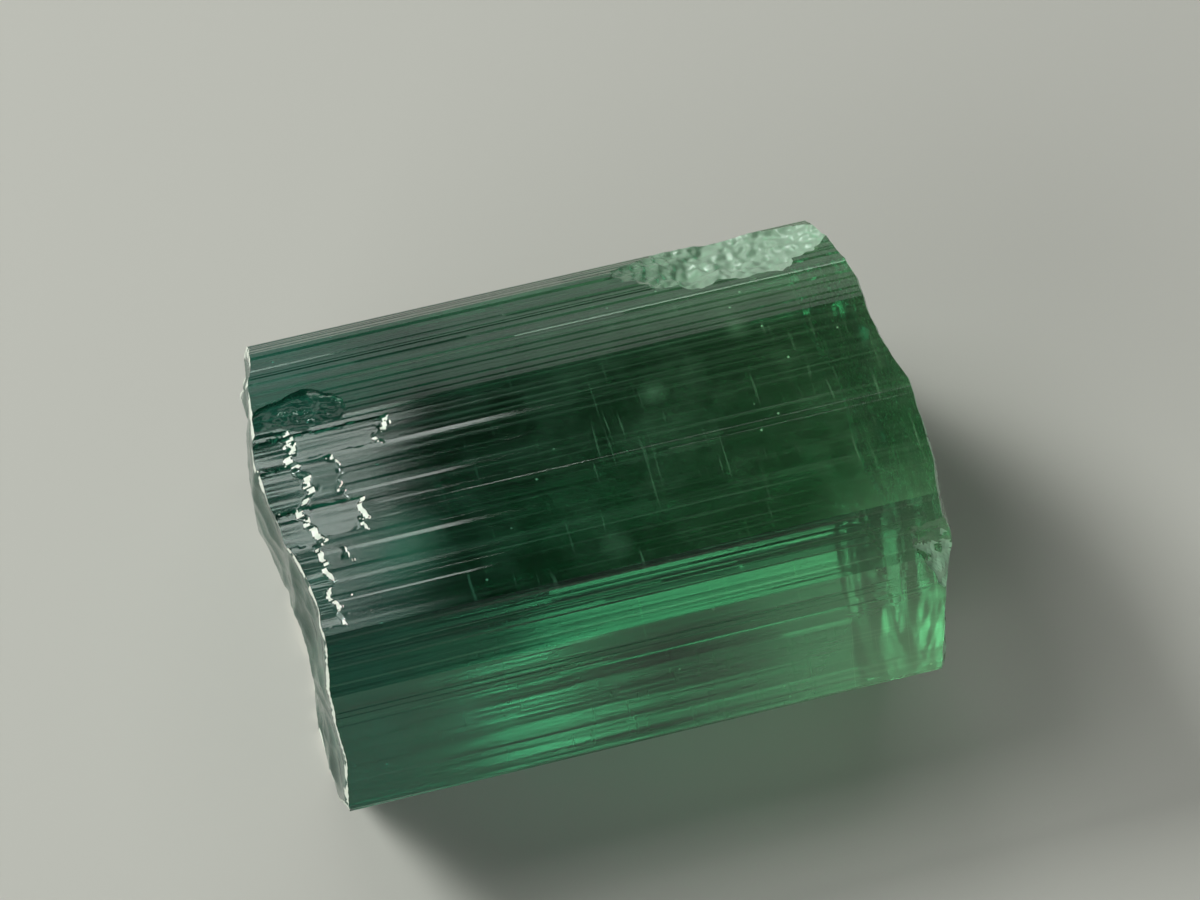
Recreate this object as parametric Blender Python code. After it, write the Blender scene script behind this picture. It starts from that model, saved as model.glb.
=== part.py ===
"""A broken stub of a tourmaline crystal, lying on one of its prism faces.

The crystal is a rounded six-sided prism, ribbed by growth striae that run its whole length
along X. Both ends are snapped off across the length, in shallow glassy scallops, and flakes
have come off one long edge and off the rims of both breaks. It is one solid, in metres,
+Z up, with its origin on the plane it rests on, under the middle of its bounding box.
"""

import math
import random

import bmesh
import bpy
from mathutils import Euler, Matrix, Vector, noise

MM = 0.001

# The prism's sides, anticlockwise as seen from +X: a name, the corner (y, z) where the side
# starts, in mm, and how many striae it has. The base keeps a plain strip to lie on.
FORM = [
    ("base_front", (-1.90, 0.00), 3),
    ("base", (-0.70, 0.00), 0),
    ("base_back", (5.60, 0.00), 4),
    ("back_lower", (7.20, 0.00), 8),
    ("back_wall", (9.90, 3.60), 10),
    ("back_shoulder", (7.90, 10.20), 4),
    ("back_ridge", (6.90, 11.35), 5),
    ("top_bevel", (5.00, 12.30), 3),
    ("top", (3.40, 12.60), 11),
    ("front_shoulder", (-3.70, 12.60), 5),
    ("front_upper", (-4.80, 10.84), 8),
    ("front_rim", (-6.58, 7.02), 1),
    ("front_lower", (-6.52, 6.75), 12),
]
GROOVE_DEPTHS = (0.03, 0.11)   # the shallowest and the deepest stria, mm
GROOVE_SHARE = 0.5             # share of a stria's pitch that its groove takes
GROOVE_WALL = 0.12             # share of a stria's pitch that each wall of the groove takes
PITCH_SPREAD = 0.5             # how far one stria's pitch strays from the mean, as a share
STRIA_SEED = 7

# The breaks at the two ends, in mm. Each crosses the prism at a plane, bowed across Y. On the
# bow are a broad swelling and hollows that meet in ridges.
BLANK_LENGTH = 30.0            # the unbroken prism, cut at both ends
LEFT_BREAK = {
    "plane": -9.47,            # its place along X
    "bow": (0.0035, 5.5),      # how fast it bows outwards, per mm squared, and from which Y
    "swelling": (1.06, (2.9, 10.5), 2.6),   # height, middle (y, z) and radius
    "seed": 7.5,
}
RIGHT_BREAK = {
    "plane": 7.94,
    "bow": (-0.0128, 2.4),
    "swelling": (1.16, (-2.9, 8.5), 5.4),
    "seed": 10.75,
}
HOLLOW_SIZE = 3.2              # typical width of one hollow
HOLLOW_DEPTH = 0.55
BREAK_BLOCK = (8.0, 19.0, 16.0)             # the block of air that is cut off at each end
BREAK_MIDDLE = (1.80, 6.3)                  # the blocks' middle in Y and Z
BREAK_ROWS = 40                # rows and columns of faces over each break

# The flakes that have come off: a name, the middle of the ball that is cut away, its half
# sizes and its roughness, in mm, and its turns about X, Y and Z in degrees.
FLAKES = [
    ("long_edge_flake", (5.00, 7.00, 11.75), (3.60, 2.25, 1.30), 0.22, (-37, 0, -2)),
    ("right_nick", (8.55, -5.63, 10.13), (0.95, 0.65, 0.95), 0.10, (0, 18, -20)),
    ("left_rim_flake", (-9.30, 3.50, 13.15), (2.00, 1.00, 0.95), 0.08, (-8, -4, 4)),
]
FLAKE_ROUGH_SIZE = 1.1         # width of the lumps on a flake's scar, mm
FLAKE_DETAIL = 5               # how finely each ball is divided

# What the stone looks like: a deep bluish green glass.
STONE_COLOUR = (0.035, 0.200, 0.110, 1.0)
STONE_ROUGHNESS = 0.12
STONE_IOR = 1.63


def clear_scene():
    """Removes the objects that the scene opened with."""
    for item in list(bpy.data.objects):
        bpy.data.objects.remove(item, do_unlink=True)


def new_collection(name):
    """A collection of the scene."""
    collection = bpy.data.collections.new(name)
    bpy.context.scene.collection.children.link(collection)
    return collection


def new_object(name, mesh, collection, frame):
    """An object of a mesh, in a collection, held by the crystal's frame."""
    item = bpy.data.objects.new(name, mesh)
    collection.objects.link(item)
    item.parent = frame
    return item


def green_tourmaline():
    """The stone's material."""
    material = bpy.data.materials.new("green_tourmaline")
    material.use_nodes = True
    shader = material.node_tree.nodes["Principled BSDF"]
    shader.inputs["Base Color"].default_value = STONE_COLOUR
    shader.inputs["Roughness"].default_value = STONE_ROUGHNESS
    shader.inputs["Metallic"].default_value = 0.0
    shader.inputs["IOR"].default_value = STONE_IOR
    shader.inputs["Transmission Weight"].default_value = 1.0
    return material


def stria_marks(count, rng):
    """The places where the striae of one side meet, as shares of the side's width."""
    pitches = [1 + rng.uniform(-PITCH_SPREAD, PITCH_SPREAD) for _ in range(count)]
    marks = [0.0]
    for pitch in pitches:
        marks.append(marks[-1] + pitch / sum(pitches))
    return marks


def striated_side(start, end, count, rng):
    """The outline of one side: its first corner, then a groove for each of its striae."""
    run = end - start
    inward = Vector((-run.y, run.x)).normalized()
    marks = stria_marks(count, rng)
    points = [start]
    for low, high in zip(marks, marks[1:]):
        pitch = high - low
        ledge = pitch * (1 - GROOVE_SHARE) / 2
        wall = pitch * GROOVE_WALL
        sunk = inward * rng.uniform(*GROOVE_DEPTHS)
        points.append(start + run * (low + ledge))
        points.append(start + run * (low + ledge + wall) + sunk)
        points.append(start + run * (high - ledge - wall) + sunk)
        points.append(start + run * (high - ledge))
    return points


def striated_outline():
    """The prism's outline across its length, in mm: (y, z) points, anticlockwise."""
    rng = random.Random(STRIA_SEED)
    corners = [Vector(corner) for _, corner, _ in FORM]
    points = []
    for index, (_, _, count) in enumerate(FORM):
        end = corners[(index + 1) % len(corners)]
        points += striated_side(corners[index], end, count, rng)
    return points


def along_x():
    """Turns a drawing's X, Y and Z into the crystal's Y, Z and X."""
    return Matrix(((0, 0, 1, 0), (1, 0, 0, 0), (0, 1, 0, 0), (0, 0, 0, 1)))


def prism(collection, frame):
    """The unbroken crystal: the outline drawn as a flat curve and extruded along X."""
    outline = striated_outline()
    curve = bpy.data.curves.new("outline", "CURVE")
    curve.dimensions = "2D"
    curve.fill_mode = "BOTH"
    curve.extrude = BLANK_LENGTH / 2 * MM
    spline = curve.splines.new("POLY")
    spline.points.add(len(outline) - 1)
    for point, place in zip(spline.points, outline):
        point.co = (place.x * MM, place.y * MM, 0.0, 1.0)
    spline.use_cyclic_u = True

    drawing = bpy.data.objects.new("outline", curve)
    collection.objects.link(drawing)
    graph = bpy.context.evaluated_depsgraph_get()
    mesh = bpy.data.meshes.new_from_object(drawing.evaluated_get(graph))
    bpy.data.objects.remove(drawing)

    shape = bmesh.new()
    shape.from_mesh(mesh)
    bmesh.ops.remove_doubles(shape, verts=shape.verts, dist=0.0001 * MM)
    bmesh.ops.transform(shape, matrix=along_x(), verts=shape.verts)
    bmesh.ops.recalc_face_normals(shape, faces=shape.faces)
    shape.to_mesh(mesh)
    shape.free()
    return new_object("tourmaline_crystal", mesh, collection, frame)


def break_relief(y, z, fracture):
    """How far a break stands out of its plane at a place (y, z), in mm."""
    rate, bow_y = fracture["bow"]
    height, (mid_y, mid_z), radius = fracture["swelling"]
    away = math.hypot(y - mid_y, z - mid_z) / radius
    broad = rate * (y - bow_y) ** 2 + height / (1 + away ** 3)
    place = Vector((y / HOLLOW_SIZE, z / HOLLOW_SIZE, fracture["seed"]))
    nearest = noise.voronoi(place)[0][0]
    return broad + HOLLOW_DEPTH * nearest ** 2


def break_block(name, fracture, side, collection, frame):
    """The air past one break: a block whose inner face is the broken surface.

    side is -1 for the crystal's left end and 1 for its right end.
    """
    plane = fracture["plane"] * MM
    length, width, height = (size * MM for size in BREAK_BLOCK)
    middle_y, middle_z = (place * MM for place in BREAK_MIDDLE)
    place = Matrix.Translation((plane + side * length / 2, middle_y, middle_z))
    block = bmesh.new()
    bmesh.ops.create_cube(block, size=1, matrix=place @ Matrix.Diagonal((length, width, height, 1)))
    block.normal_update()
    inner = min(block.faces, key=lambda face: face.normal.x * side)
    bmesh.ops.subdivide_edges(block, edges=inner.edges, cuts=BREAK_ROWS, use_grid_fill=True)
    for vert in block.verts:
        if abs(vert.co.x - plane) < length / 2:
            relief = break_relief(vert.co.y / MM, vert.co.z / MM, fracture)
            vert.co.x += side * relief * MM
    mesh = bpy.data.meshes.new(name)
    block.to_mesh(mesh)
    block.free()
    return new_object(name, mesh, collection, frame)


def flake(name, middle, halves, rough, turns, collection, frame):
    """The air where a flake was: a lumpy ball, squashed and turned."""
    shape = bmesh.new()
    bmesh.ops.create_icosphere(shape, subdivisions=FLAKE_DETAIL, radius=1)
    turn = Euler([math.radians(angle) for angle in turns]).to_matrix()
    for vert in shape.verts:
        place = turn @ Vector(out * half for out, half in zip(vert.co, halves)) + Vector(middle)
        lump = noise.noise(place / FLAKE_ROUGH_SIZE)
        outwards = turn @ vert.co
        vert.co = (place + outwards * lump * rough) * MM
    mesh = bpy.data.meshes.new(name)
    shape.to_mesh(mesh)
    shape.free()
    return new_object(name, mesh, collection, frame)


def cut(body, cutter):
    """Takes the cutter's shape out of the body."""
    cutter.display_type = "WIRE"
    cutter.hide_render = True
    modifier = body.modifiers.new(cutter.name, "BOOLEAN")
    modifier.operation = "DIFFERENCE"
    modifier.solver = "EXACT"
    modifier.object = cutter


def stand_on_origin(body, frame):
    """Moves the frame so that the finished crystal's bottom centre is at the origin."""
    graph = bpy.context.evaluated_depsgraph_get()
    graph.update()
    finished = body.evaluated_get(graph)
    places = [finished.matrix_world @ vert.co for vert in finished.data.vertices]
    lowest = Vector(min(place[axis] for place in places) for axis in range(3))
    highest = Vector(max(place[axis] for place in places) for axis in range(3))
    frame.location -= Vector(((lowest.x + highest.x) / 2, (lowest.y + highest.y) / 2, lowest.z))
    bpy.context.view_layer.update()


def tourmaline_crystal():
    """The whole crystal."""
    collection = new_collection("tourmaline_crystal")
    cutters = new_collection("cutters")
    frame = bpy.data.objects.new("crystal_frame", None)
    collection.objects.link(frame)

    body = prism(collection, frame)
    body.data.materials.append(green_tourmaline())
    cut(body, break_block("left_break", LEFT_BREAK, -1, cutters, frame))
    cut(body, break_block("right_break", RIGHT_BREAK, 1, cutters, frame))
    for name, middle, halves, rough, turns in FLAKES:
        cut(body, flake(name, middle, halves, rough, turns, cutters, frame))
    stand_on_origin(body, frame)


clear_scene()
tourmaline_crystal()
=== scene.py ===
"""The looks of a loose, broken green tourmaline crystal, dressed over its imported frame."""

import math
import random

import bmesh
import bpy
from mathutils import Euler, Matrix, Vector, noise


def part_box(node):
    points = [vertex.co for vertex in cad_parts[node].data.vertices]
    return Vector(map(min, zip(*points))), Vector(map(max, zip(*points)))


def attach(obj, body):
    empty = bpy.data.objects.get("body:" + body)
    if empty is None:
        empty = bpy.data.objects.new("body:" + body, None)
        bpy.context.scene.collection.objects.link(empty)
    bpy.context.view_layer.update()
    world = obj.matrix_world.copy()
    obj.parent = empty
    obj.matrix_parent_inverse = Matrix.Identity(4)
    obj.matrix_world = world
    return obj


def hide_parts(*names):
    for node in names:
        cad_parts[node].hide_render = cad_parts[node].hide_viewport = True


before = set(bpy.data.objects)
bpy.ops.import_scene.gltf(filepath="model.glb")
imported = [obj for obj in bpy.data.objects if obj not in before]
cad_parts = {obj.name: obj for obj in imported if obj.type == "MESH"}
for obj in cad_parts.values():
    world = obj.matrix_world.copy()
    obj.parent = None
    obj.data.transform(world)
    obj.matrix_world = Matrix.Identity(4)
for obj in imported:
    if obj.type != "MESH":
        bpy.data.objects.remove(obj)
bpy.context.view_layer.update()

# ---------------------------------------------------------------------------------------------
# The crystal. One rod of elbaite, a clear gem tourmaline, that grew as a rounded six-sided
# prism. Its faces grew in steps, which leave striae along its whole length. Later it was
# snapped across at both ends and chipped, and it lies loose on one of its faces.
# ---------------------------------------------------------------------------------------------
MM = 0.001

# The corners (y, z) where its sides start, in mm, anticlockwise as seen from +X. After each come
# the number of striae on that side, and how deep they are next to the deepest ones.
SIDES = [
    ((-1.90, 0.00), 3, 0.3),
    ((-0.70, 0.00), 0, 0.03),
    ((5.60, 0.00), 4, 0.3),
    ((7.20, 0.00), 8, 0.2),
    ((9.90, 3.60), 10, 0.10),
    ((7.90, 10.20), 4, 0.25),
    ((6.90, 11.35), 5, 0.35),
    ((5.00, 12.30), 3, 0.2),
    ((3.40, 12.60), 11, 0.03),
    ((-3.70, 12.60), 5, 0.06),
    ((-4.80, 10.84), 8, 0.05),
    ((-6.58, 7.02), 1, 0.20),
    ((-6.52, 6.75), 12, 0.4),
]
GROOVE_DEPTHS = (0.03, 0.11)   # the shallowest and the deepest stria, mm
GROOVE_SHARE = 0.5             # share of a stria's pitch that its groove takes
GROOVE_WALL = 0.12             # share of a stria's pitch that each wall of the groove takes
PITCH_SPREAD = 0.8             # how far one stria's pitch strays from the mean, as a share
STRIA_SEED = 21

# On and between the striae are finer steps, each a narrow facet at its own depth and tilt.
FACET_WIDTH = 0.09             # typical width of a facet, mm
FACET_STRAY = 0.3              # how far a facet's edge strays, as a share of its width
FACET_DEPTH = 0.006            # how far in or out an edge of a facet may lie, mm
FACET_WALL = 0.008             # width of the wall between two facets, mm
FACET_SEED = 11

# Along the crystal, a stria keeps its depth for a few mm and then steps to another one.
BLANK_ENDS = (-13.0, 11.0)     # the prism before its ends broke off, mm along X
STEP_COUNT = 16                # places along the prism where striae may change
STEP_PLACES = (0.1, 0.9)       # where in its stretch of the prism each one lies, as a share
STEP_RAMP = 0.12               # length of such a change, mm
STEP_CHANCE = 0.22             # share of the striae and facets that change at each place
STEP_SPREAD = 0.25             # how far a stria's depth strays from its usual one, as a share


def stria_marks(count, rng):
    """The places where the striae of one side meet, as shares of the side's width."""
    pitches = [1 + rng.uniform(-PITCH_SPREAD, PITCH_SPREAD) for _ in range(count)]
    marks = [0.0]
    for pitch in pitches:
        marks.append(marks[-1] + pitch / sum(pitches))
    return marks


def striated_side(start, end, count, share, rng):
    """The corners of one side, each as (place, inward direction, depth, share)."""
    run = end - start
    inward = Vector((-run.y, run.x)).normalized()
    marks = stria_marks(count, rng)
    corners = [(start, inward, 0.0, share)]
    for low, high in zip(marks, marks[1:]):
        pitch = high - low
        ledge = pitch * (1 - GROOVE_SHARE) / 2
        wall = pitch * GROOVE_WALL
        depth = rng.uniform(*GROOVE_DEPTHS) * share
        corners.append((start + run * (low + ledge), inward, 0.0, share))
        corners.append((start + run * (low + ledge + wall), inward, depth, share))
        corners.append((start + run * (high - ledge - wall), inward, depth, share))
        corners.append((start + run * (high - ledge), inward, 0.0, share))
    return corners


def facet_marks(start, end, rng):
    """Where the facets of one strip of the outline meet, as shares of its width."""
    count = max(1, round((end - start).length / FACET_WIDTH))
    inner = [(at + rng.uniform(-FACET_STRAY, FACET_STRAY)) / count for at in range(1, count)]
    return [0.0] + inner + [1.0]


def facet_tilt(share, rng):
    """How far in the two edges of a facet lie, in mm."""
    return [rng.uniform(-1, 1) * FACET_DEPTH * share for _ in range(2)]


def section(corners, strays, strips, tilts):
    """The points (y, z) of the prism's outline at one place along it, in mm."""
    sunk = [
        place + inward * depth * stray
        for (place, inward, depth, _), stray in zip(corners, strays)
    ]
    points = []
    for index, start in enumerate(sunk):
        run = sunk[(index + 1) % len(sunk)] - start
        inward = Vector((-run.y, run.x)).normalized()
        wall = run.normalized() * FACET_WALL / 2
        points.append(start)
        for at, mark in enumerate(strips[index][1:-1]):
            points.append(start + run * mark - wall + inward * tilts[index][at][1])
            points.append(start + run * mark + wall + inward * tilts[index][at + 1][0])
    return points


def grown_prism():
    """The unbroken prism, with all its striae and facets."""
    rng = random.Random(STRIA_SEED)
    corners = []
    for index, (corner, count, share) in enumerate(SIDES):
        end = Vector(SIDES[(index + 1) % len(SIDES)][0])
        corners += striated_side(Vector(corner), end, count, share, rng)

    rng = random.Random(FACET_SEED)
    ends = corners[1:] + corners[:1]
    strips = [facet_marks(low[0], high[0], rng) for low, high in zip(corners, ends)]
    tilts = [
        [facet_tilt(corner[3], rng) for _ in strip]
        for corner, strip in zip(corners, strips)
    ]
    strays = [1.0] * len(corners)
    low, high = BLANK_ENDS
    sections = [(low, section(corners, strays, strips, tilts))]
    for at in range(STEP_COUNT):
        step = low + (high - low) * (at + rng.uniform(*STEP_PLACES)) / STEP_COUNT
        sections.append((step, sections[-1][1]))
        for index, tilt in enumerate(tilts):
            if rng.random() < STEP_CHANCE:
                tilt[:] = [facet_tilt(corners[index][3], rng) for _ in tilt]
                strays[index] = 1 + rng.uniform(-STEP_SPREAD, STEP_SPREAD)
        sections.append((step + STEP_RAMP, section(corners, strays, strips, tilts)))
    sections.append((high, sections[-1][1]))

    shape = bmesh.new()
    rings = [
        [shape.verts.new((along * MM, point.x * MM, point.y * MM)) for point in points]
        for along, points in sections
    ]
    for left, right in zip(rings, rings[1:]):
        for index in range(len(left)):
            after = (index + 1) % len(left)
            shape.faces.new((left[index], right[index], right[after], left[after]))
    shape.faces.new(rings[0])
    shape.faces.new(list(reversed(rings[-1])))
    bmesh.ops.recalc_face_normals(shape, faces=shape.faces)
    mesh = bpy.data.meshes.new("tourmaline")
    shape.to_mesh(mesh)
    shape.free()
    return mesh


# What a stretch of the surface can be: grown, broken smooth as glass, broken like sugar, or
# crumbled, as thin edges are. Crumbled faces are painted near white, partly for the crumbled
# stone and partly as painted glints.
GROWN, GLASSY, SUGARY, CRUMBLED_AND_GLINT = 0, 1, 2, 3

# The breaks. Each crosses the prism at a plane, bowed across Y, with a broad swelling on it
# and hollows that meet in ridges, as glassy stone breaks. The bow is how fast the break rises
# with the square of the distance from a Y, and that Y. The swelling is its height, its middle
# (y, z) and its radius. The seed picks the hollows. All sizes are in mm.
LEFT_BREAK = {
    "plane": -9.47,
    "bow": (0.0035, 5.5),
    "swelling": (1.06, (2.9, 10.5), 2.6),
    "seed": 7.5,
}
RIGHT_BREAK = {
    "plane": 8.12,
    "bow": (-0.0105, 2.4),
    "swelling": (1.16, (-2.9, 8.5), 5.4),
    "seed": 10.75,
}
HOLLOW_SIZE = 3.2              # typical width of one hollow
HOLLOW_DEPTH = 0.55
RIPPLE_SIZE = 0.9              # the small hollows on top of them
RIPPLE_DEPTH = 0.10
BREAK_BLOCK = (8.0, 19.0, 16.0)             # the air that is cut away: its size
BREAK_MIDDLE = (1.80, 6.3)     # its middle (y, z)
BREAK_ROWS = 170               # cuts each way across the block's inner face
RIM_WEAR = 0.25                # width of the worn, rounded rim of a break, mm
RIM_DROP = 0.08                # how far that rim falls back, mm
# The crumbled strip round a break is painted near white: partly crumbled stone, partly painted
# glints.
CRUMB_AND_GLINT_STRIP = 0.17                  # width of the crumbled strip round a break, mm
CRUMB_AND_GLINT_SIZE = 0.5               # how far apart its widest places are, mm
CRUMB_AND_GLINT_SPREAD = 2               # how far its width strays, as a share of it


def depth_inside(y, z):
    """How far inside the prism's sides a place (y, z) is, in mm."""
    depths = []
    for index, (corner, _, _) in enumerate(SIDES):
        start, end = Vector(corner), Vector(SIDES[(index + 1) % len(SIDES)][0])
        along = (end - start).normalized()
        depths.append(along.x * (z - start.y) - along.y * (y - start.x))
    return min(depths)


def break_relief(y, z, fracture):
    """How far a break stands out of its plane at a place (y, z), in mm."""
    rate, bow_y = fracture["bow"]
    height, (mid_y, mid_z), radius = fracture["swelling"]
    away = math.hypot(y - mid_y, z - mid_z) / radius
    broad = rate * (y - bow_y) ** 2 + height / (1 + away ** 3)
    place = Vector((y, z, fracture["seed"] * HOLLOW_SIZE))
    hollow = noise.voronoi(place / HOLLOW_SIZE)[0][0]
    ripple = noise.voronoi(place / RIPPLE_SIZE)[0][0]
    worn = RIM_DROP * max(0.0, 1 - max(0.0, depth_inside(y, z)) / RIM_WEAR) ** 2
    return broad + HOLLOW_DEPTH * hollow ** 2 + RIPPLE_DEPTH * ripple ** 2 - worn


def on_crumbled_glinting_rim(face):
    """Whether a break's face lies in its crumbled rim strip, painted white partly as glints."""
    _, y, z = face.center / MM
    stray = CRUMB_AND_GLINT_SPREAD * noise.noise((y / CRUMB_AND_GLINT_SIZE, z / CRUMB_AND_GLINT_SIZE, 0.0))
    return depth_inside(y, z) < CRUMB_AND_GLINT_STRIP * (1 + stray)


def break_block(name, fracture, side):
    """The air past one break: a block whose inner face is the broken surface."""
    plane = fracture["plane"] * MM
    length, width, height = (size * MM for size in BREAK_BLOCK)
    middle_y, middle_z = (place * MM for place in BREAK_MIDDLE)
    place = Matrix.Translation((plane + side * length / 2, middle_y, middle_z))
    sized = place @ Matrix.Diagonal((length, width, height, 1))
    block = bmesh.new()
    bmesh.ops.create_cube(block, size=1, matrix=sized)
    block.normal_update()
    inner = min(block.faces, key=lambda face: face.normal.x * side)
    bmesh.ops.subdivide_edges(block, edges=inner.edges, cuts=BREAK_ROWS, use_grid_fill=True)
    for vert in block.verts:
        if abs(vert.co.x - plane) < length / 2:
            relief = break_relief(vert.co.y / MM, vert.co.z / MM, fracture)
            vert.co.x += side * relief * MM
    mesh = bpy.data.meshes.new(name)
    block.to_mesh(mesh)
    block.free()
    return bpy.data.objects.new(name, mesh)


# The flakes that have come off: a name, the middle of the ball that is cut away, its half
# sizes and its roughness, in mm, its turns in degrees, how much of the ball's lower half is
# there, as a share of its height, and what the scar looks like.
FLAKES = [
    ("long_edge_flake", (5.00, 7.00, 11.75), (3.60, 2.25, 1.30), 0.30, (-37, 0, -2), 1.0, SUGARY),
    ("left_rim_flake", (-8.90, 3.70, 12.60), (1.50, 0.95, 0.42), 0.12, (-17, 3, 4), 0.30, SUGARY),
]
FLAKE_LUMP = 0.85              # width of the lumps on a scar, mm
FLAKE_GRAIN = 0.26             # width of the grains on it, mm
FLAKE_GRAIN_SHARE = 0.45       # their height, as a share of the lumps'
FLAKE_SUBDIVISIONS = 7         # the ball's subdivisions, enough for the grains


def flake(name, middle, halves, rough, turns, lower, finish):
    """The air where a flake was: a lumpy ball, squashed and turned, with a flat underside."""
    shape = bmesh.new()
    bmesh.ops.create_icosphere(shape, subdivisions=FLAKE_SUBDIVISIONS, radius=1)
    turn = Euler([math.radians(angle) for angle in turns]).to_matrix()
    for vert in shape.verts:
        outwards = turn @ vert.co
        flattened = Vector((vert.co.x, vert.co.y, max(vert.co.z, -lower)))
        ball = turn @ Vector(out * half for out, half in zip(flattened, halves)) + Vector(middle)
        lump = noise.noise(ball / FLAKE_LUMP)
        if finish == SUGARY:
            lump += noise.noise(ball / FLAKE_GRAIN) * FLAKE_GRAIN_SHARE
        vert.co = (ball + outwards * lump * rough) * MM
    mesh = bpy.data.meshes.new(name)
    shape.to_mesh(mesh)
    shape.free()
    return bpy.data.objects.new(name, mesh)


# The corner split off the right break at the front: a wedge between two cleft faces that meet
# in a line running in from its tip. Places are (x, y, z) in mm.
SPLIT_TIP = (7.42, -4.22, 11.76)
SPLIT_FAR = [(10.50, -3.90, 11.90), (9.50, -6.30, 7.90), (9.90, -4.85, 9.60)]
SPLIT_OUTWARDS = (0.0, -1.6, 1.2)           # how far the wedge reaches out of the crystal, mm
SPLIT_CUTS = 24                # cuts across each edge of the wedge, for the lumps
SPLIT_LUMP = 0.34              # width of the lumps on the cleft faces, mm
SPLIT_ROUGH = 0.14             # their height, mm
# The split's crumbled lower end is painted near white: partly crumbled stone, partly painted
# glints.
CRUMBLED_AND_GLINT_BELOW = 10.9          # their lower end is crumbled, below about this height, mm
CRUMBLED_AND_GLINT_RAGGED = 0.8          # how raggedly that ends, mm


def on_crumbled_glinting_split_end(face):
    """Whether a face of the split is in its crumbled end, painted white partly as glints."""
    lump = noise.noise(face.center / (SPLIT_LUMP * MM))
    return face.center.z / MM < CRUMBLED_AND_GLINT_BELOW + lump * CRUMBLED_AND_GLINT_RAGGED


def split_corner():
    """The air where the corner was."""
    outer = [Vector(SPLIT_TIP), Vector(SPLIT_FAR[0]), Vector(SPLIT_FAR[1])]
    places = outer + [Vector(SPLIT_FAR[2])] + [at + Vector(SPLIT_OUTWARDS) for at in outer]
    shape = bmesh.new()
    for place in places:
        shape.verts.new(place)
    bmesh.ops.convex_hull(shape, input=shape.verts)
    bmesh.ops.triangulate(shape, faces=shape.faces)
    bmesh.ops.subdivide_edges(shape, edges=shape.edges, cuts=SPLIT_CUTS, use_grid_fill=True)
    shape.normal_update()
    for vert in shape.verts:
        vert.co += vert.normal * noise.noise(vert.co / SPLIT_LUMP) * SPLIT_ROUGH
    bmesh.ops.scale(shape, vec=(MM, MM, MM), verts=shape.verts)
    bmesh.ops.recalc_face_normals(shape, faces=shape.faces)
    mesh = bpy.data.meshes.new("split_corner")
    shape.to_mesh(mesh)
    shape.free()
    return bpy.data.objects.new("split_corner", mesh)


# Thin flakes that have lifted off the top face beside the left break: how far along X each
# one reaches, its least and greatest Y, its depth, how much deeper it gets per mm towards +Y,
# and the height of the streaks on its floor, in mm. They end raggedly, stria by stria, and
# small pits line their ends.
THIN_FLAKES = [
    (-6.5, (2.20, 3.10), 0.080, 0.020, 0.004),
    (-8.2, (0.60, 2.15), 0.060, -0.010, 0.003),
    (-7.7, (-0.55, 0.60), 0.080, 0.020, 0.004),
    (-8.7, (-3.50, -0.90), 0.010, 0.000, 0.020),
    (-9.2, (-3.50, 3.30), 0.060, 0.010, 0.006),
]
TOP_HEIGHT = 12.60
THIN_FLAKE_REACH = (-10.8, -5.0)            # the stretch of the top face that they lie in
THIN_FLAKE_SPAN = (-3.66, 3.36)
THIN_FLAKE_GRID = 0.045        # how finely their edges are drawn, mm
RAGGED = ((0.9, 0.45), (0.30, 0.35))        # widths and heights of an edge's wanderings, mm
STRAY_ALONG = 0.15             # share of those that the sides of a flake have
FRONT_SEED, BACK_SEED = 0.3, 0.6            # set the wanderings of a flake's two sides apart
END_SLOPE = 0.50               # how steeply a flake's end falls
SIDE_SLOPE = 2.5               # how steeply its sides fall
# Crumbled stretches of the flakes' ends are painted near white: partly crumbled stone, partly
# painted glints.
CRUMBLED_AND_GLINT_SLOPE = 0.30          # from this slope on, a flake's end may be crumbled
CRUMBLED_AND_GLINT_PATCH = 0.42          # width of one crumbled stretch, mm
CRUMBLED_AND_GLINT_LEAST = -0.20         # the lower, from 1 to -1, the more of an end is crumbled
STREAK_SIZE = (3.0, 0.16)      # length and width of the streaks, mm
PIT_COUNT = 7                  # pits at the end of each flake
PIT_STRAY = (-0.15, 0.10)      # how far along X a pit lies from that end, mm
PIT_SIZES = (0.06, 0.17)       # their least and greatest radius, mm
PIT_DEPTH = 0.30               # their depth, as a share of the radius
PIT_RAGGED = 0.9               # how ragged their outline is, as a share of it
PIT_SEED = 5
CLEARANCE = 0.02               # height of the slab's underside over the sound face, mm
SLAB_TOP = 1.0                 # height of the slab's top over it, mm


def wander(along, seed):
    """How far a ragged edge strays at a place along it, in mm."""
    return sum(height * noise.noise((along / width, seed, width)) for width, height in RAGGED)


rng = random.Random(PIT_SEED)
pits = []
for index, (reach, (low, high), *_) in enumerate(THIN_FLAKES):
    for _ in range(PIT_COUNT):
        along_edge = rng.uniform(low, high)
        end = reach + wander(along_edge, index) + rng.uniform(*PIT_STRAY)
        pits.append((end, along_edge, rng.uniform(*PIT_SIZES)))


def lifted(x, y):
    """How deep the thin flakes go at a place on the top face, in mm."""
    length, width = STREAK_SIZE
    streak = noise.noise((x / length, y / width, 0.0))
    depth = 0.0
    for index, (reach, (low, high), deep, lean, streaky) in enumerate(THIN_FLAKES):
        end = reach - x + wander(y, index)
        side = min(
            y - low + STRAY_ALONG * wander(x, index + FRONT_SEED),
            high - y + STRAY_ALONG * wander(x, index + BACK_SEED),
        )
        floor = deep + lean * (y - low) + streaky * streak
        depth += max(0.0, min(floor, end * END_SLOPE, side * SIDE_SLOPE))
    for pit_x, pit_y, radius in pits:
        away = math.hypot(x - pit_x, y - pit_y) / radius
        share = 1 - away * (1 + PIT_RAGGED * noise.noise((x / radius, y / radius, radius)))
        depth += max(0.0, share) * radius * PIT_DEPTH
    return depth


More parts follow.
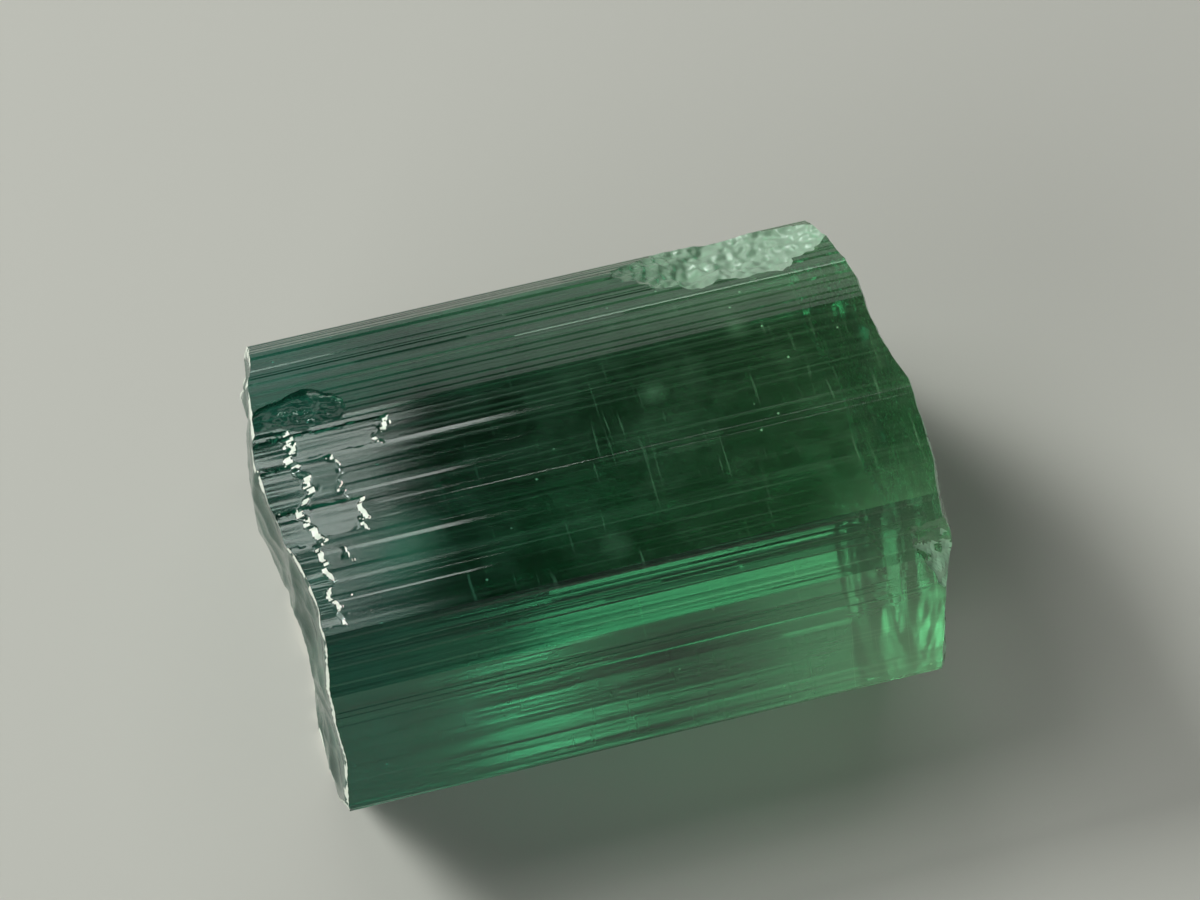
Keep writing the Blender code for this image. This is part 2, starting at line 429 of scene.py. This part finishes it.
def on_crumbled_glinting_edge(face):
    """Whether a face is in the crumbled stretches of the flakes' ends, painted white partly as
    glints.
    """
    across, sideways, level = (abs(part) for part in face.normal)
    steep = across > max(sideways, CRUMBLED_AND_GLINT_SLOPE * level)
    return steep and noise.noise(face.center / (CRUMBLED_AND_GLINT_PATCH * MM)) > CRUMBLED_AND_GLINT_LEAST


def thin_flakes():
    """The air over the thin flakes: a slab whose underside follows them."""
    (west, east), (south, north) = THIN_FLAKE_REACH, THIN_FLAKE_SPAN
    columns = round((east - west) / THIN_FLAKE_GRID)
    rows = round((north - south) / THIN_FLAKE_GRID)
    slab = bmesh.new()
    bmesh.ops.create_grid(slab, x_segments=columns, y_segments=rows, size=0.5)
    for vert in slab.verts:
        x = west + (vert.co.x + 0.5) * (east - west)
        y = south + (vert.co.y + 0.5) * (north - south)
        vert.co = Vector((x, y, TOP_HEIGHT + CLEARANCE - lifted(x, y))) * MM
    top = bmesh.ops.extrude_face_region(slab, geom=slab.faces[:])
    for item in top["geom"]:
        if isinstance(item, bmesh.types.BMVert):
            item.co.z = (TOP_HEIGHT + SLAB_TOP) * MM
    bmesh.ops.recalc_face_normals(slab, faces=slab.faces)
    mesh = bpy.data.meshes.new("thin_flakes")
    slab.to_mesh(mesh)
    slab.free()
    return bpy.data.objects.new("thin_flakes", mesh)


def nowhere(face):
    """For a cutter that leaves no crumbled faces, so no painted glints."""
    return False


def cut(body, cutter, finish, crumbled_and_glinting=nowhere):
    """Takes a cutter out of the body, and marks the faces that it leaves with their finish."""
    for face in cutter.data.polygons:
        face.material_index = CRUMBLED_AND_GLINT if crumbled_and_glinting(face) else finish
    bpy.context.collection.objects.link(cutter)
    modifier = body.modifiers.new(cutter.name, "BOOLEAN")
    modifier.operation = "DIFFERENCE"
    modifier.solver = "EXACT"
    modifier.object = cutter
    graph = bpy.context.evaluated_depsgraph_get()
    mesh = bpy.data.meshes.new_from_object(body.evaluated_get(graph))
    body.modifiers.clear()
    body.data = mesh
    bpy.data.objects.remove(cutter)


def stand_in_place_of(body, node):
    """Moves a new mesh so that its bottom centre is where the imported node's is."""
    low, high = (Vector(corner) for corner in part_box(node))
    places = [vert.co for vert in body.data.vertices]
    own_low = Vector(min(place[axis] for place in places) for axis in range(3))
    own_high = Vector(max(place[axis] for place in places) for axis in range(3))
    move = (low + high - own_low - own_high) / 2
    move.z = low.z - own_low.z
    body.data.transform(Matrix.Translation(move))


# The prism gets one material slot for each kind of surface. They hold no material, but the
# cuts keep each face's slot number.
crystal = bpy.data.objects.new("tourmaline", grown_prism())
bpy.context.collection.objects.link(crystal)
for _ in (GROWN, GLASSY, SUGARY, CRUMBLED_AND_GLINT):
    crystal.data.materials.append(None)
cut(crystal, thin_flakes(), GLASSY, on_crumbled_glinting_edge)
cut(crystal, break_block("left_break", LEFT_BREAK, -1), GLASSY, on_crumbled_glinting_rim)
cut(crystal, break_block("right_break", RIGHT_BREAK, 1), GLASSY, on_crumbled_glinting_rim)
cut(crystal, split_corner(), GLASSY, on_crumbled_glinting_split_end)
for details in FLAKES:
    cut(crystal, flake(*details), details[-1])
stand_in_place_of(crystal, "tourmaline_crystal")

# What each face's surface is, as face attributes that the material reads.
finishes = [0] * len(crystal.data.polygons)
crystal.data.polygons.foreach_get("material_index", finishes)
kinds = (("glassy_break", GLASSY), ("sugary_break", SUGARY), ("crumbled_edge_and_glint", CRUMBLED_AND_GLINT))
for name, kind in kinds:
    layer = crystal.data.attributes.new(name, "FLOAT", "FACE")
    layer.data.foreach_set("value", [float(finish == kind) for finish in finishes])

# The glassy breaks are smooth, with sharp ridges. Everything else is flat, face by face.
RIDGE_ANGLE = 28               # a ridge is sharp from this angle on, degrees
crystal.data.set_sharp_from_angle(angle=math.radians(RIDGE_ANGLE))
crystal.data.polygons.foreach_set("use_smooth", [finish == GLASSY for finish in finishes])
crystal.data.polygons.foreach_set("material_index", [0] * len(finishes))


def linear(code):
    """A colour's linear values, from its sRGB hex code."""
    shares = [int(code[at:at + 2], 16) / 255 for at in (1, 3, 5)]
    return [s / 12.92 if s <= 0.04045 else ((s + 0.055) / 1.055) ** 2.4 for s in shares] + [1.0]


def add(material, kind, settings=None, links=None):
    """Adds a node to a material, with its settings and what its inputs are linked to."""
    node = material.node_tree.nodes.new(kind)
    for name, value in (settings or {}).items():
        if isinstance(name, int) or name in node.inputs:
            node.inputs[name].default_value = value
        else:
            setattr(node, name, value)
    for name, source in (links or {}).items():
        material.node_tree.links.new(source, node.inputs[name])
    return node


# Verdelite, the green tourmaline: a clear stone, glassy on its grown faces. It is a bluish
# green at the left end and a paler yellowish green at the right one, where fine veils make it
# milky. Clouds, hair cracks and specks run all through it. Most of its colour comes from the
# depth of stone that light crosses. It is rubbed dull beside the left break, and pale to white
# where it broke like sugar or crumbled; the near white of the crumbled edges is partly crumbled
# stone and partly painted glints.
TINT_LEFT = "#3F9A82"
TINT_RIGHT = "#A8E6AC"
TINT_ENDS = (-8.0, 9.0)        # X of the left tint and of the right one, mm
DEPTH_COLOUR = linear("#95CBBC")
DEPTH_DENSITY = 150.0          # per metre of stone
STONE_IOR = 1.63
STONE_ROUGHNESS = 0.05
STREAK_LENGTH = 14.0           # dull streaks along the faces: their length and width, mm
STREAK_WIDTH = 0.11
STREAK_DETAIL = (4.0, 0.6)     # how many finer streaks lie on them, and how strong those are
STREAK_SPAN = (0.52, 0.70)     # from what noise on a streak starts, and where it is full
STREAK_MILK = 0.07
STREAK_ROUGHNESS = 0.05
MILK_LEFT = 0.0                # share of light that the fine veils scatter, at each end
MILK_RIGHT = 0.035
CLOUD_SIZE = 2.2               # width of the milkier patches, mm
CLOUD_DETAIL = (7.0, 0.68)
CLOUD_SPAN = (0.45, 0.75)
CLOUD_MEAN = 0.5               # the mean of their noise
CLOUD_MILK = 0.07
HAIR_WIDTH = 0.10              # the hair cracks: their width and length, mm
HAIR_LENGTH = 2.2
HAIR_DETAIL = 2.0
HAIR_CROOKED = 0.4             # how crooked they are
HAIR_SPAN = (0.64, 0.80)
HAIR_MILK = 0.17
RUBBED_EDGE = (1.6, 2.6)       # the rubbed back edge starts between these Y, mm
RUBBED_MILK = 0.06
PALE_CORNER = (9.0, -8.0, 5.0)              # the palest corner, and how far its milk reaches, mm
PALE_REACH = 9.0
PALE_MILK = 0.65
VEILS = [                      # single veils at the surface: middle and reach, mm, and milk
    ((-6.4, -3.1, 12.6), 1.7, 0.24),
    ((2.2, 0.1, 12.6), 0.5, 0.10),
    ((-0.2, -4.6, 12.6), 0.6, 0.07),
    ((5.2, 1.6, 12.6), 0.5, 0.10),
    ((-5.5, -7.3, 9.0), 1.2, 0.15),
]
WORN_END = (-4.5, -8.0)        # X where the rubbing starts and where it is full, mm
WORN_MILK = 0.22
WORN_ROUGHNESS = 0.16
SCAR_FADE = (0.5, 5.5)         # the scar is clear at the first X and frosted at the other, mm
SPECK_SPACING = 0.9            # white specks: how far apart they are, mm
SPECK_RADIUS = 0.06            # their radius, as a share of that
SPECK_MILK = 0.8
SUGAR_COLOUR = "#CBE9CF"       # where it broke like sugar
SUGAR_MILK = 0.5
SUGAR_ROUGHNESS = 0.35
# Crumbled edges: near white, partly for crumbled stone and partly as painted glints.
CRUMB_AND_GLINT_LEFT = "#F1F4E8"         # crumbled edges, at each end
CRUMB_AND_GLINT_RIGHT = "#BDEBC6"
CRUMB_AND_GLINT_MILK = 0.9
BREAK_MILK = 0.08              # what a glassy break adds at the right end
BREAK_ROUGHNESS = 0.20


def verdelite():
    """The crystal's material."""
    material = bpy.data.materials.new("verdelite_grown_and_broken")
    material.use_nodes = True
    tree = material.node_tree
    shader = tree.nodes["Principled BSDF"]
    output = tree.nodes["Material Output"]
    shader.inputs["IOR"].default_value = STONE_IOR

    # Where a point lies, and what kind of surface it is on.
    place = add(material, "ShaderNodeTexCoord").outputs["Object"]
    along = add(material, "ShaderNodeSeparateXYZ", links={"Vector": place}).outputs["X"]
    across = add(material, "ShaderNodeSeparateXYZ", links={"Vector": place}).outputs["Y"]
    share = add(
        material, "ShaderNodeMapRange",
        {"From Min": TINT_ENDS[0] * MM, "From Max": TINT_ENDS[1] * MM},
        {"Value": along},
    ).outputs["Result"]
    glass, scar, crumbs_and_glints = (
        add(material, "ShaderNodeAttribute", {"attribute_name": name}).outputs["Fac"]
        for name, _ in kinds
    )
    thick = add(
        material, "ShaderNodeMapRange",
        {"From Min": SCAR_FADE[0] * MM, "From Max": SCAR_FADE[1] * MM},
        {"Value": along},
    ).outputs["Result"]
    scarred = add(
        material, "ShaderNodeMath", {"operation": "MULTIPLY"}, {0: scar, 1: thick},
    ).outputs["Value"]
    sugar = add(
        material, "ShaderNodeMath", {"operation": "MAXIMUM"}, {0: scarred, 1: crumbs_and_glints},
    ).outputs["Value"]
    broken = add(
        material, "ShaderNodeMath", {"operation": "MULTIPLY"}, {0: glass, 1: share},
    ).outputs["Value"]

    # The colour.
    tint = add(
        material, "ShaderNodeMix",
        {"data_type": "RGBA", 6: linear(TINT_LEFT), 7: linear(TINT_RIGHT)},
        {"Factor": share},
    ).outputs[2]
    frosted = add(
        material, "ShaderNodeMix",
        {"data_type": "RGBA", 7: linear(SUGAR_COLOUR)},
        {"Factor": sugar, 6: tint},
    ).outputs[2]
    # The crumbled edges' near white colour: partly crumbled stone, partly painted glints.
    crumb_and_glint_colour = add(
        material, "ShaderNodeMix",
        {"data_type": "RGBA", 6: linear(CRUMB_AND_GLINT_LEFT), 7: linear(CRUMB_AND_GLINT_RIGHT)},
        {"Factor": share},
    ).outputs[2]
    crumbled_and_glinting = add(
        material, "ShaderNodeMix", {"data_type": "RGBA"},
        {"Factor": crumbs_and_glints, 6: frosted, 7: crumb_and_glint_colour},
    ).outputs[2]
    tree.links.new(crumbled_and_glinting, shader.inputs["Base Color"])

    # The milk: what scatters light, in place of letting it through.
    milk = add(
        material, "ShaderNodeMapRange",
        {"To Min": MILK_LEFT, "To Max": MILK_RIGHT, "interpolation_type": "SMOOTHSTEP"},
        {"Value": share},
    ).outputs["Result"]
    clouds = add(
        material, "ShaderNodeTexNoise",
        {"Scale": 1 / (CLOUD_SIZE * MM), "Detail": CLOUD_DETAIL[0],
         "Roughness": CLOUD_DETAIL[1]},
        {"Vector": place},
    ).outputs["Fac"]
    cloud_milk = add(
        material, "ShaderNodeMapRange",
        {"From Min": CLOUD_SPAN[0], "From Max": CLOUD_SPAN[1], "To Max": CLOUD_MILK},
        {"Value": clouds},
    ).outputs["Result"]
    drawn = add(
        material, "ShaderNodeMapping",
        {"Scale": (1 / (HAIR_WIDTH * MM), 1 / (HAIR_LENGTH * MM), 1 / (HAIR_LENGTH * MM))},
        {"Vector": place},
    ).outputs["Vector"]
    hairs = add(
        material, "ShaderNodeTexNoise",
        {"Scale": 1.0, "Detail": HAIR_DETAIL, "Distortion": HAIR_CROOKED},
        {"Vector": drawn},
    ).outputs["Fac"]
    hair_milk = add(
        material, "ShaderNodeMapRange",
        {"From Min": HAIR_SPAN[0], "From Max": HAIR_SPAN[1], "To Max": HAIR_MILK},
        {"Value": hairs},
    ).outputs["Result"]
    laid = add(
        material, "ShaderNodeMapping",
        {"Scale": (1 / (STREAK_LENGTH * MM), 1 / (STREAK_WIDTH * MM), 1 / (STREAK_WIDTH * MM))},
        {"Vector": place},
    ).outputs["Vector"]
    lines = add(
        material, "ShaderNodeTexNoise",
        {"Scale": 1.0, "Detail": STREAK_DETAIL[0], "Roughness": STREAK_DETAIL[1]},
        {"Vector": laid},
    ).outputs["Fac"]
    streaks = add(
        material, "ShaderNodeMapRange",
        {"From Min": STREAK_SPAN[0], "From Max": STREAK_SPAN[1]},
        {"Value": lines},
    ).outputs["Result"]
    streak_milk = add(
        material, "ShaderNodeMath", {"operation": "MULTIPLY", 1: STREAK_MILK}, {0: streaks},
    ).outputs["Value"]
    specks = add(
        material, "ShaderNodeTexVoronoi",
        {"Scale": 1 / (SPECK_SPACING * MM)},
        {"Vector": place},
    ).outputs["Distance"]
    speck_milk = add(
        material, "ShaderNodeMapRange",
        {"From Min": SPECK_RADIUS, "From Max": 0.0, "To Max": SPECK_MILK},
        {"Value": specks},
    ).outputs["Result"]
    break_milk = add(
        material, "ShaderNodeMath", {"operation": "MULTIPLY", 1: BREAK_MILK}, {0: broken},
    ).outputs["Value"]
    rubbed_milk = add(
        material, "ShaderNodeMapRange",
        {"From Min": RUBBED_EDGE[0] * MM, "From Max": RUBBED_EDGE[1] * MM, "To Max": RUBBED_MILK},
        {"Value": across},
    ).outputs["Result"]
    from_corner = add(
        material, "ShaderNodeVectorMath",
        {"operation": "DISTANCE", 1: [at * MM for at in PALE_CORNER]},
        {0: place},
    ).outputs["Value"]
    corner_milk = add(
        material, "ShaderNodeMapRange",
        {"From Min": 0.0, "From Max": PALE_REACH * MM, "To Min": PALE_MILK, "To Max": 0.0},
        {"Value": from_corner},
    ).outputs["Result"]
    worn = add(
        material, "ShaderNodeMapRange",
        {"From Min": WORN_END[0] * MM, "From Max": WORN_END[1] * MM},
        {"Value": along},
    ).outputs["Result"]
    worn_streaks = add(
        material, "ShaderNodeMath", {"operation": "MULTIPLY"}, {0: worn, 1: lines},
    ).outputs["Value"]
    worn_milk = add(
        material, "ShaderNodeMath", {"operation": "MULTIPLY", 1: WORN_MILK}, {0: worn_streaks},
    ).outputs["Value"]
    veils = []
    for middle, reach, veil in VEILS:
        away = add(
            material, "ShaderNodeVectorMath",
            {"operation": "DISTANCE", 1: [at * MM for at in middle]},
            {0: place},
        ).outputs["Value"]
        dense = add(
            material, "ShaderNodeMapRange",
            {"From Min": 0.0, "From Max": reach * MM, "To Min": veil / CLOUD_MEAN, "To Max": 0.0},
            {"Value": away},
        ).outputs["Result"]
        veils.append(add(
            material, "ShaderNodeMath", {"operation": "MULTIPLY"}, {0: dense, 1: clouds},
        ).outputs["Value"])
    total = milk
    for part in (
        *veils, worn_milk, rubbed_milk, corner_milk, cloud_milk, hair_milk, streak_milk,
        speck_milk, break_milk,
    ):
        total = add(
            material, "ShaderNodeMath", {"operation": "ADD", "use_clamp": True},
            {0: total, 1: part},
        ).outputs["Value"]
    veiled = add(
        material, "ShaderNodeMix", {"data_type": "FLOAT", 3: SUGAR_MILK},
        {"Factor": sugar, 2: total},
    ).outputs[0]
    # Crumbled edges scatter nearly all light, for their near white: partly painted glints.
    whitened = add(
        material, "ShaderNodeMix", {"data_type": "FLOAT", 3: CRUMB_AND_GLINT_MILK},
        {"Factor": crumbs_and_glints, 2: veiled},
    ).outputs[0]
    clear = add(
        material, "ShaderNodeMath", {"operation": "SUBTRACT", 0: 1.0}, {1: whitened},
    ).outputs["Value"]
    tree.links.new(clear, shader.inputs["Transmission Weight"])

    # How dull the surface is.
    dull = add(
        material, "ShaderNodeMath",
        {"operation": "MULTIPLY_ADD", 1: STREAK_ROUGHNESS, 2: STONE_ROUGHNESS},
        {0: streaks},
    ).outputs["Value"]
    rubbed = add(
        material, "ShaderNodeMath", {"operation": "MULTIPLY_ADD", 1: WORN_ROUGHNESS},
        {0: worn_streaks, 2: dull},
    ).outputs["Value"]
    rough = add(
        material, "ShaderNodeMix", {"data_type": "FLOAT", 3: SUGAR_ROUGHNESS},
        {"Factor": sugar, 2: rubbed},
    ).outputs[0]
    frost = add(
        material, "ShaderNodeMath", {"operation": "MULTIPLY_ADD", 1: BREAK_ROUGHNESS},
        {0: broken, 2: rough},
    ).outputs["Value"]
    tree.links.new(frost, shader.inputs["Roughness"])

    # What the depth of stone takes out of the light.
    volume = add(
        material, "ShaderNodeVolumeAbsorption",
        {"Color": DEPTH_COLOUR, "Density": DEPTH_DENSITY},
    )
    tree.links.new(volume.outputs["Volume"], output.inputs["Volume"])
    return material


crystal.data.materials.clear()
crystal.data.materials.append(verdelite())
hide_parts("tourmaline_crystal")
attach(crystal, "root")

# ---------------------------------------------------------------------------------------------
# The tabletop: a flat sheet of pale matt paper for the crystal to lie on, wide enough to fill
# the main view. It is no part of the crystal.
# ---------------------------------------------------------------------------------------------
TABLETOP_HALF = 0.6            # half its width, metres
PAPER_COLOUR = "#C8C3BE"
PAPER_ROUGHNESS = 0.9


def matt_paper():
    """Uncoated paper: no gloss, one pale warm grey."""
    material = bpy.data.materials.new("matt_paper")
    material.use_nodes = True
    shader = material.node_tree.nodes["Principled BSDF"]
    shader.inputs["Base Color"].default_value = linear(PAPER_COLOUR)
    shader.inputs["Roughness"].default_value = PAPER_ROUGHNESS
    return material


sheet = bmesh.new()
bmesh.ops.create_grid(sheet, size=TABLETOP_HALF)
tabletop = bpy.data.objects.new("tabletop", bpy.data.meshes.new("tabletop"))
sheet.to_mesh(tabletop.data)
sheet.free()
tabletop.data.materials.append(matt_paper())
bpy.context.collection.objects.link(tabletop)

# ---------------------------------------------------------------------------------------------
# The light: soft panels in a dim room. The window stands high behind on the left and casts the
# shadow to the front right. The left third of the top face mirrors the pane, the front faces
# show the overhead panels and the two small lamps by way of the base and the right break, and
# the walls and the fill show in the back corner and the right break.
# ---------------------------------------------------------------------------------------------
PANELS = [    # name, middle, width and height (metres), how far tipped and turned, radiance
    ("window", (-0.33, 0.27, 0.42), (0.18, 0.18), (0, 0), 27.5),
    ("window_pane", (-0.020, 0.281, 0.45), (0.12, 0.10), (0, -36), 4.8),
    ("overhead_far", (-0.26, 0.07, 0.45), (0.24, 0.20), (0, 0), 5.0),
    ("overhead_front_left", (0.008, 0.078, 0.45), (0.075, 0.05), (0, 0), 0.6),
    ("overhead_front_right", (0.125, 0.078, 0.45), (0.16, 0.05), (0, 0), 3.1),
    ("overhead_back_left", (0.005, 0.138, 0.45), (0.07, 0.06), (0, 0), 0.55),
    ("overhead_back_middle", (0.060, 0.123, 0.45), (0.04, 0.026), (0, 0), 0.9),
    ("overhead_back_right", (0.143, 0.138, 0.45), (0.126, 0.06), (0, 0), 0.9),
    ("lamp", (0.042, 0.138, 0.44), (0.014, 0.005), (0, 0), 10.0),
    ("second_lamp", (0.047, 0.128, 0.44), (0.018, 0.004), (0, 0), 9.0),
    ("wall_low", (0.15, 0.70, 0.10), (0.8, 0.20), (-90, 0), 0.50),
    ("wall_high", (0.15, 0.66, 0.50), (0.6, 0.16), (-53, 0), 0.7),
    ("front_fill", (-0.42, -0.30, 0.28), (0.46, 0.30), (61, -55), 2.2),
]
DAYLIGHT = (0.93, 1.0, 0.95)   # a linear colour, as the room's is
ROOM_COLOUR = (0.90, 0.95, 1.0, 1.0)
ROOM_STRENGTHS = (0.16, 0.02)  # at the horizon, and from ROOM_DARK upwards
ROOM_DARK = 0.30               # as the sine of the elevation

for name, middle, (width, height), (tip, turn), radiance in PANELS:
    panel = bpy.data.lights.new(name, "AREA")
    panel.shape = "RECTANGLE"
    panel.size = width
    panel.size_y = height
    panel.energy = math.pi * radiance * width * height
    panel.color = DAYLIGHT
    lamp = bpy.data.objects.new(name, panel)
    lamp.location = middle
    lamp.rotation_euler = (math.radians(tip), 0, math.radians(turn))
    bpy.context.collection.objects.link(lamp)

room = bpy.data.worlds.new("room")
room.use_nodes = True
backdrop = room.node_tree.nodes["Background"]
backdrop.inputs["Color"].default_value = ROOM_COLOUR
towards = add(room, "ShaderNodeTexCoord").outputs["Generated"]
upwards = add(room, "ShaderNodeSeparateXYZ", links={"Vector": towards}).outputs["Z"]
strength = add(
    room, "ShaderNodeMapRange",
    {"From Min": 0.0, "From Max": ROOM_DARK,
     "To Min": ROOM_STRENGTHS[0], "To Max": ROOM_STRENGTHS[1]},
    {"Value": upwards},
).outputs["Result"]
room.node_tree.links.new(strength, backdrop.inputs["Strength"])
bpy.context.scene.world = room

# ---------------------------------------------------------------------------------------------
# The camera looks down on the crystal from the front left, with a long lens. It aims a little
# past the crystal's middle. Light may cross the stone many times before it is given up.
# ---------------------------------------------------------------------------------------------
AZIMUTH = math.radians(-15)
ELEVATION = math.radians(60)
LENS = 130.0                   # focal length and sensor width, mm
SENSOR = 36.0
FIELD = 37.1 * MM              # width of what it sees at the crystal
NEAREST = 1 * MM               # nothing nearer to it than this shows
AIM_HEIGHT = 6.3 * MM
AIM_SHIFT = (0.50 * MM, 2.00 * MM)          # how far right and up of the middle it aims
CLEAR_BOUNCES = 24             # how often light may pass or turn inside clear stone
GLOSS_BOUNCES = 16             # how often it may be mirrored

away = Vector((
    math.sin(AZIMUTH) * math.cos(ELEVATION),
    -math.cos(AZIMUTH) * math.cos(ELEVATION),
    math.sin(ELEVATION),
))
rightwards = Vector((math.cos(AZIMUTH), math.sin(AZIMUTH), 0))
up = away.cross(rightwards)
aim = Vector((0, 0, AIM_HEIGHT)) + rightwards * AIM_SHIFT[0] + up * AIM_SHIFT[1]
camera = bpy.data.objects.new("camera", bpy.data.cameras.new("camera"))
camera.data.lens = LENS
camera.data.sensor_width = SENSOR
camera.data.clip_start = NEAREST
camera.location = aim + away * (LENS / SENSOR * FIELD)
camera.rotation_euler = (-away).to_track_quat("-Z", "Y").to_euler()
bpy.context.collection.objects.link(camera)

scene = bpy.context.scene
scene.camera = camera
scene.view_settings.view_transform = "Standard"
scene.cycles.max_bounces = CLEAR_BOUNCES
scene.cycles.transmission_bounces = CLEAR_BOUNCES
scene.cycles.glossy_bounces = GLOSS_BOUNCES
